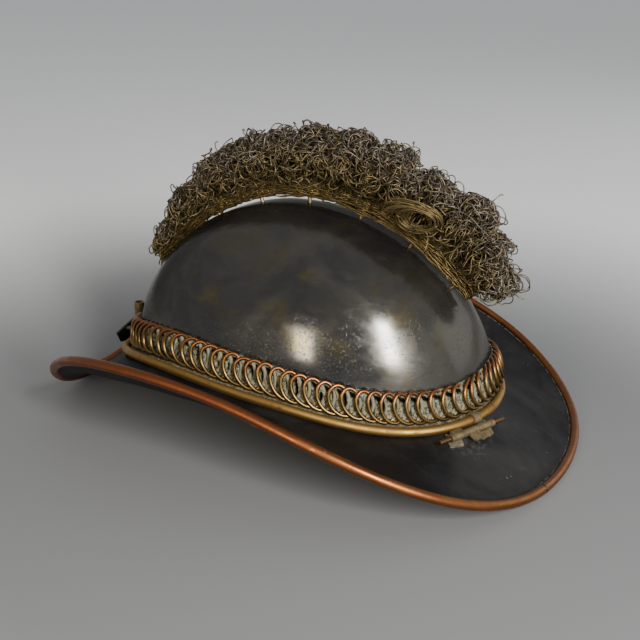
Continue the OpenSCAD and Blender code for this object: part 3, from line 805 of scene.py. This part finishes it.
def measure_band():
    """Distance round the crown under the coil, and every loop's own irregularities."""
    th = np.linspace(0, 360, 1441)
    path = wall(th, np.full_like(th, 14.0), 3.8)
    run = np.concatenate([[0], np.cumsum(np.linalg.norm(np.diff(path, axis=0), axis=-1))])
    turns = round(run[-1] / LOOP_PITCH)
    rng = np.random.default_rng(5)
    loops = {key: rng.normal(0, spread, turns) for key, spread in
             (("shift", 0.95), ("width", 0.05), ("squash", 0.03), ("proud", 0.12), ("slant", 0.5))}
    return th, run, turns, loops


TH_TABLE, RUN_TABLE, TURNS, LOOPS = measure_band()
PITCH = RUN_TABLE[-1] / TURNS


def per_loop(key, phase):
    """A loop's value, flowing into the next loop's; phase counts loops."""
    v = LOOPS[key]
    low = np.floor(phase).astype(int)
    return mix(v[low % TURNS], v[(low + 1) % TURNS], smooth(phase - low))


def build_coil():
    """Spring laid flat round the crown: front arcs stand proud, rear arcs sink in the filling."""
    per_turn, sides = 40, 10
    phase = np.arange(TURNS * per_turn) / per_turn
    turn = 2 * math.pi * phase
    half_tall = COIL_HEIGHT / 2 - WIRE_R
    swing = LOOP_WIDTH / 2 * (1 + per_loop("width", phase))
    run = (phase * PITCH + per_loop("shift", phase) + swing * np.cos(turn)
           + per_loop("slant", phase) * np.sin(turn))
    th = np.interp(run % RUN_TABLE[-1], RUN_TABLE, TH_TABLE)
    face = mix(PROUD, SUNK, smooth(0.5 + 0.5 * np.cos(turn - 0.35))) + per_loop("proud", phase)
    squash = 1 - np.abs(per_loop("squash", phase))
    height = COIL_FOOT + COIL_HEIGHT / 2 + half_tall * np.sin(turn) * squash
    path = wall(th, height + COIL_REAR_LIFT * rearward(th, 16), face)
    tube = closed_tube(path, WIRE_R, sides)
    crown_side = smooth((np.sin(turn) - 0.15) / 0.75)
    buried = smooth((np.cos(turn) - 0.35) / 0.4)
    made = add_grid("coil_spring", tube, coil_look, wrap_rows=True, values={
        "crown_side": np.repeat(crown_side[:, None], sides, axis=1),
        "buried": np.repeat(buried[:, None], sides, axis=1)})
    settle(made, "helmet", "coil_wire", "coil_band")


def closed_tube(path, radius, sides):
    """Grid of points round one closed path, as rows along it."""
    across, over = frames_along(path[None], closed=True)
    turn = section_angles(sides)
    ring = (np.cos(turn)[None, :, None] * across[0][:, None]
            + np.sin(turn)[None, :, None] * over[0][:, None])
    return path[:, None] + radius * ring


def spot(along, up, half_along, half_up):
    """Soft oval: 1 inside, 0 outside."""
    return smooth((1.25 - np.hypot(along / half_along, up / half_up)) / 0.5)


def build_backing():
    """Granular filling between crown and spring: hollows beside the loops, which also carry painted
    shade, and a shelf along its foot.
    """
    th = np.linspace(0, 360, 1800, endpoint=False)
    lift = COIL_REAR_LIFT * rearward(th, 16)
    top = COIL_FOOT + COIL_HEIGHT - 1.6
    reach = RING_STAND - RING_R + 0.1 - REAR_FLARE * rearward(th, 4) + ring_shift(th)
    shelf = np.maximum(0.4, reach)
    t_face, t_shelf = np.linspace(1, 0, 30), np.linspace(0, 1, 9)[1:]
    run = np.interp(th, TH_TABLE, RUN_TABLE)
    face_h = (COIL_FOOT + t_face[:, None] * (top - COIL_FOOT)) + lift[None]
    face_out = (FILL_OUT - 1.5 * smooth((t_face - 0.78) / 0.22))[:, None] + 0 * th[None]
    shelf_h = mix(COIL_FOOT + lift[None], 2.5, t_shelf[:, None] ** 0.8)
    shelf_out = mix(FILL_OUT, shelf[None], t_shelf[:, None])
    height = np.concatenate([face_h, shelf_h])
    out = np.concatenate([face_out, shelf_out])
    surface = wall(th[None], height, out)
    # u is the distance along the band past the last loop's middle
    level = height - lift[None]
    phase = run / PITCH
    phase = phase - per_loop("shift", phase) / PITCH
    near = np.floor(phase)
    u = ((phase - near) * PITCH)[None]
    rng = np.random.default_rng(17)
    pick = rng.random((4, TURNS + 2))[:, near.astype(int) % TURNS][:, None]
    upper = spot(u - 2.4 - pick[2], level - top + 2.7 + 0.35 * u, 2.2 + pick[1], 1.3)
    upper = upper * (pick[0] < 0.9)
    slot = spot(u - 6.1, level - 12.5 - 3 * pick[2], 1.1, 4.2 * pick[0] + 1.8) * (pick[1] < 0.9)
    low = spot(u - 5.2, level - 8 - 3 * pick[3], 1.2, 1.1) * (pick[2] < 0.45)
    # hollows beside the loops: dented in below, and painted near-black as shade by the filling's
    # finish
    gap = np.clip(1.4 * (upper + slot + low), 0, 1)
    grain = np.clip(waves(surface, 3.2, 41, 3), -1, 1) * 0.38
    out = out + grain - 1.9 * gap
    front = wall(th[None], height + 0.15 * waves(surface, 4.5, 43, 2), np.maximum(out, 0.25))
    under = wall(th, np.full_like(th, 0.3), shelf)
    back_h = np.array([[0.3], [10], [top]]) + lift[None] * np.array([[0.0], [1.0], [1.0]])
    back = wall(th[None], back_h, 0.2)
    grid = np.concatenate([front, under[None], back])
    extra = np.zeros((4, len(th)))
    foot = np.concatenate([smooth((6.2 - level) / 2.5), extra + 1])
    made = add_grid("coil_backing_filling", grid[::-1], backing_look, wrap_rows=True, values={
        "gap": np.concatenate([gap, extra])[::-1], "foot": foot[::-1]})
    settle(made, "helmet", "backing", "coil_backing")


# ---------- crest ----------

def build_spine():
    """Bundle of brass wires with a slow twist, tied by a thin wire."""
    strands, steps = 15, 150
    lift = np.linspace(CREST_START, CREST_END, steps)
    centre = spine(lift)
    ahead = unit(np.gradient(centre, axis=0))
    side = LEFT
    over = np.cross(ahead, side)
    run = np.concatenate([[0], np.cumsum(np.linalg.norm(np.diff(centre, axis=0), axis=-1))])
    rng = np.random.default_rng(9)
    inner = 5
    paths = []
    for k in range(strands):
        ring, in_ring, twist = (0.62, inner, 11) if k < inner else (1.72, strands - inner, 17)
        turn = 2 * math.pi * k / in_ring + run / twist + rng.normal(0, 0.15)
        wobble = ring + 0.16 * np.sin(run / rng.uniform(5, 9) + rng.uniform(0, 6))
        across = np.cos(turn)[:, None] * side + np.sin(turn)[:, None] * over
        paths.append(centre + wobble[:, None] * across)
    bundle = add_wires("crest_spine_bundle", np.array(paths), 0.62, spine_look, 7)
    settle(bundle, "helmet", "crest_wire", "crest_spine")
    coarse, fine = np.linspace(0, 1, steps), np.linspace(0, 1, 2400)
    mid, over_fine = (np.stack([np.interp(fine, coarse, line[:, i]) for i in range(3)], axis=-1)
                      for line in (centre, over))
    along_run = np.interp(fine, coarse, run)
    turn = along_run * 2 * math.pi / 3.4 + 2.5 * np.sin(along_run / 11)
    tie = mid + 2.42 * (np.cos(turn)[:, None] * side + np.sin(turn)[:, None] * over_fine)
    wrap = add_wires("crest_spine_tie", tie[None], 0.34, spine_look, 6)
    settle(wrap, "helmet", "crest_wire")


TUFT_MIDDLES = np.arange(TUFTS) + 0.5
CLUMP_FULLNESS = 2.6
CREST_WIRE_R, STRAND_R = 0.36, 0.38


def crest_frame(at):
    """The crest at a place between 0 and TUFTS.

    Gives its foot, the up, along and side directions, and its length and width there.
    """
    lift = mix(CREST_START, CREST_END, at / TUFTS)
    length, lean, width = (np.interp(at, TUFT_MIDDLES, values)
                           for values in (TUFT_LENGTH, TUFT_LEAN, TUFT_WIDTH))
    ahead = unit(spine(lift + 2) - spine(lift - 2))
    up = np.array([0, sind(lean), cosd(lean)])
    return spine(lift), up, ahead, LEFT, length, width


def clump_depth(offset):
    """0 in the middle of a clump, 1 on its rounded surface."""
    return np.sum(np.abs(offset) ** CLUMP_FULLNESS, axis=1, keepdims=True) ** (1 / CLUMP_FULLNESS)


def square_to(direction, heading):
    """What is left of a direction after taking away its part along the headings."""
    return direction - np.sum(direction * heading, axis=1, keepdims=True) * heading


def build_tuft(name, at, reach, share, seed, *replaced):
    """Curled wires that spring from the bundle and fill a rounded clump.

    Reach scales the clump's length, share its number of wires.
    """
    rng = np.random.default_rng(seed)
    step = 1.05
    middle, up, along, side, length, width = crest_frame(at)
    length = length * reach
    count = int(132 * share * (0.35 + 0.65 * min(1, length / 38)) * (0.5 + 0.5 * width))
    steps = int(78 * (0.45 + 0.55 * min(1, length / 40)))
    first, last = (mix(CREST_START, CREST_END, (at + t) / TUFTS) for t in (-0.55, 0.55))
    half_along = np.linalg.norm(spine(last) - spine(first)) / 2 * 1.3
    foot = SPINE_R + 0.4
    centre = middle + up * (foot + length) / 2
    sizes = np.array([CREST_HALF_WIDTH * width, half_along, (length - foot) / 2])
    basis = np.stack([side, along, up])
    inverse = np.linalg.inv(basis.T) / sizes[:, None]
    lift = rng.uniform(max(first, CREST_START), min(last, CREST_END), count)
    around = rng.uniform(0, 2 * math.pi, count)
    ring = np.cos(around)[:, None] * side + np.sin(around)[:, None] * up
    place = spine(lift) + 2.2 * ring
    aim_at = unit(up + rng.normal(0, 0.5, (count, 1)) * side
                  + rng.normal(0, 0.45, (count, 1)) * along + 0.4 * ring)
    heading = unit(aim_at + rng.choice([-1.2, 1.2], (count, 1)) * along
                   * (rng.random((count, 1)) < 0.35))
    bend = rng.normal(0, 0.12, (count, 3))
    restless = rng.uniform(0.75, 1.3, (count, 1))
    stray = rng.random((count, 1)) < 0.11
    path = [place]
    for i in range(steps - 1):
        t = i / (steps - 1)
        offset = (place - centre) @ inverse.T
        depth = clump_depth(offset)
        limit = np.where(stray, 1.26, 0.95) * (1 + 0.15 * waves(place, 17, 401, 2)[:, None])
        home = smooth((depth - limit * 0.8) / 0.2)
        inward = -unit((offset / sizes) @ basis)
        pull = 0.30 * home * square_to(inward, heading)
        rise = 0.05 * (1 - t) ** 2 * square_to(aim_at, heading)
        curl = mix(0.05, 0.33, smooth(t * 1.2)) * restless
        bend = 0.93 * bend + rng.normal(0, 0.33, (count, 3)) * curl
        bend = bend / np.maximum(1, np.linalg.norm(bend, axis=1, keepdims=True) / 0.62)
        heading = unit(heading + step * (np.cross(bend, heading) * 0.62 + pull + rise))
        place = place + heading * step
        over = clump_depth((place - centre) @ inverse.T) / (limit * 1.02)
        place = centre + (place - centre) / np.maximum(1, over)
        path.append(place)
    paths = np.stack(path, axis=1)
    share_up = np.clip(((paths - middle) @ up - foot) / (length - foot), 0, 1)
    age = smooth((share_up - 0.42 + 0.18 * rng.normal(0, 1, (count, 1))) / 0.5)
    made = add_wires(name, paths, CREST_WIRE_R, crest_look, values={
        "age": age, "tone": np.repeat(rng.random((count, 1)), steps, axis=1)})
    settle(made, "helmet", "crest_wire", *replaced)


def build_swirl():
    """Open ring of loosely wound wires on the left side of the crest, swept in from outside."""
    rng = np.random.default_rng(77)
    count, steps = 34, 120
    each = (count, 1)
    foot, up, along, side, _, _ = crest_frame(9.7)
    centre = foot + up * 16.5 + side * 15
    tilt = unit(along + 0.5 * up)
    rise = unit(up - np.sum(up * tilt) * tilt + 0.35 * side)
    t = np.linspace(0, 1, steps)[None]
    turn = rng.uniform(2.5, 3.3, each) - t * rng.uniform(1.2, 1.9, each) * 2 * math.pi
    size = rng.uniform(0.72, 1.08, each) * (1 + 0.08 * np.sin(1.7 * turn + rng.uniform(0, 6, each)))
    size = size + 0.9 * np.maximum(0, 1 - t / 0.16) ** 1.5
    off = rng.normal(0, 0.9, (count, 1, 3))
    sideways = rng.normal(0, 1.3, each) + 0.9 * np.sin(turn)
    paths = (centre + off + 11.6 * (size * np.cos(turn))[..., None] * tilt
             + 8.2 * (size * np.sin(turn))[..., None] * rise + sideways[..., None] * side)
    made = add_wires("crest_swirl", paths, STRAND_R, crest_look, values={
        "age": np.zeros(paths.shape[:2]),
        "tone": np.repeat(0.7 * rng.random(each), steps, axis=1)})
    settle(made, "helmet", "crest_wire")


def build_base_tangle():
    """Long strands that run along the wire bundle, bowing away from it, and hide its top."""
    rng = np.random.default_rng(31)
    count, steps = 240, 46
    each = (count, 1)
    t = np.linspace(0, 1, steps)[None]
    start = rng.uniform(CREST_START, CREST_END - 12, each)
    lift = np.minimum(start + t * rng.uniform(9, 24, each), CREST_END)
    turn = rng.uniform(-math.pi, math.pi, each) + t * rng.normal(0, 1.2, each)
    bow = rng.uniform(0.2, 3.8, each) * mix(0.6, 1.0, 0.5 + 0.5 * np.cos(turn))
    ripple = 0.3 * np.sin(t * 23 + rng.uniform(0, 6, each))
    away = 2.6 + bow * np.sin(math.pi * t) ** 0.8 + ripple
    centre = spine(lift)
    ahead = unit(np.gradient(centre, axis=1))
    side = LEFT
    over = np.cross(side, ahead)
    over = over * np.sign(over[..., 2:3] + 1e-9)
    across = np.sin(turn)[..., None] * side + np.cos(turn)[..., None] * over
    made = add_wires("crest_base_strands", centre + away[..., None] * across, STRAND_R, spine_look)
    settle(made, "helmet", "crest_wire")


build_crown()
build_brim()
build_binding()
build_base_ring()
build_coil()
build_backing()
build_spine()
build_base_tangle()
for tuft in range(1, TUFTS + 1):
    build_tuft(f"crest_tuft_{tuft}_wires", tuft - 0.5, 1.0, 1.0, 100 + tuft, f"crest_tuft_{tuft}")
for tuft in range(3, TUFTS):
    between_reach = 0.98 if tuft == TUFTS - 1 else 0.86
    between_share = 0.8 if tuft > 9 else 0.5
    build_tuft(f"crest_between_{tuft}_wires", tuft, between_reach, between_share, 200 + tuft)
build_swirl()

# ---------- finishes of the CAD pieces that keep their own shape ----------

FINISHES = {
    "crest_posts": dark_brass_look, "crest_nuts": dark_brass_look, "badge_plate": shade_black_look,
    "badge_studs": dark_brass_look, "badge_nuts": dark_brass_look, "plume_socket": hinge_look,
    "hinge_fixed_leaf": hinge_look, "hinge_solder": solder_look, "hinge_pin": pin_look,
    "hinge_loose_leaf": hinge_look, "sweatband": leather_look, "sweatband_rivets": dark_brass_look,
    "lining_tongues": lining_look, "lining_drawcord": cord_look, "strap_eye_left": dark_brass_look,
    "strap_eye_right": dark_brass_look, "strap_ring_left": dark_brass_look,
    "strap_ring_right": dark_brass_look,
}
for name, look in FINISHES.items():
    mesh = nodes[name].data
    mesh.materials.clear()
    mesh.materials.append(look)


def build_floor():
    """A round floor, wide enough to fill the view, with painted light and shade on it."""
    rings = np.array([0.0, 0.2, 0.5, 1, 2, 4, 9]) * 1000
    turn = np.radians(np.arange(0, 360, 5))
    grid = point(rings[:, None] * np.cos(turn), rings[:, None] * np.sin(turn), 0)
    floor = add_grid("floor", grid[::-1], stage_with_painted_light())
    floor.location.z = cad_lo.z


build_floor()
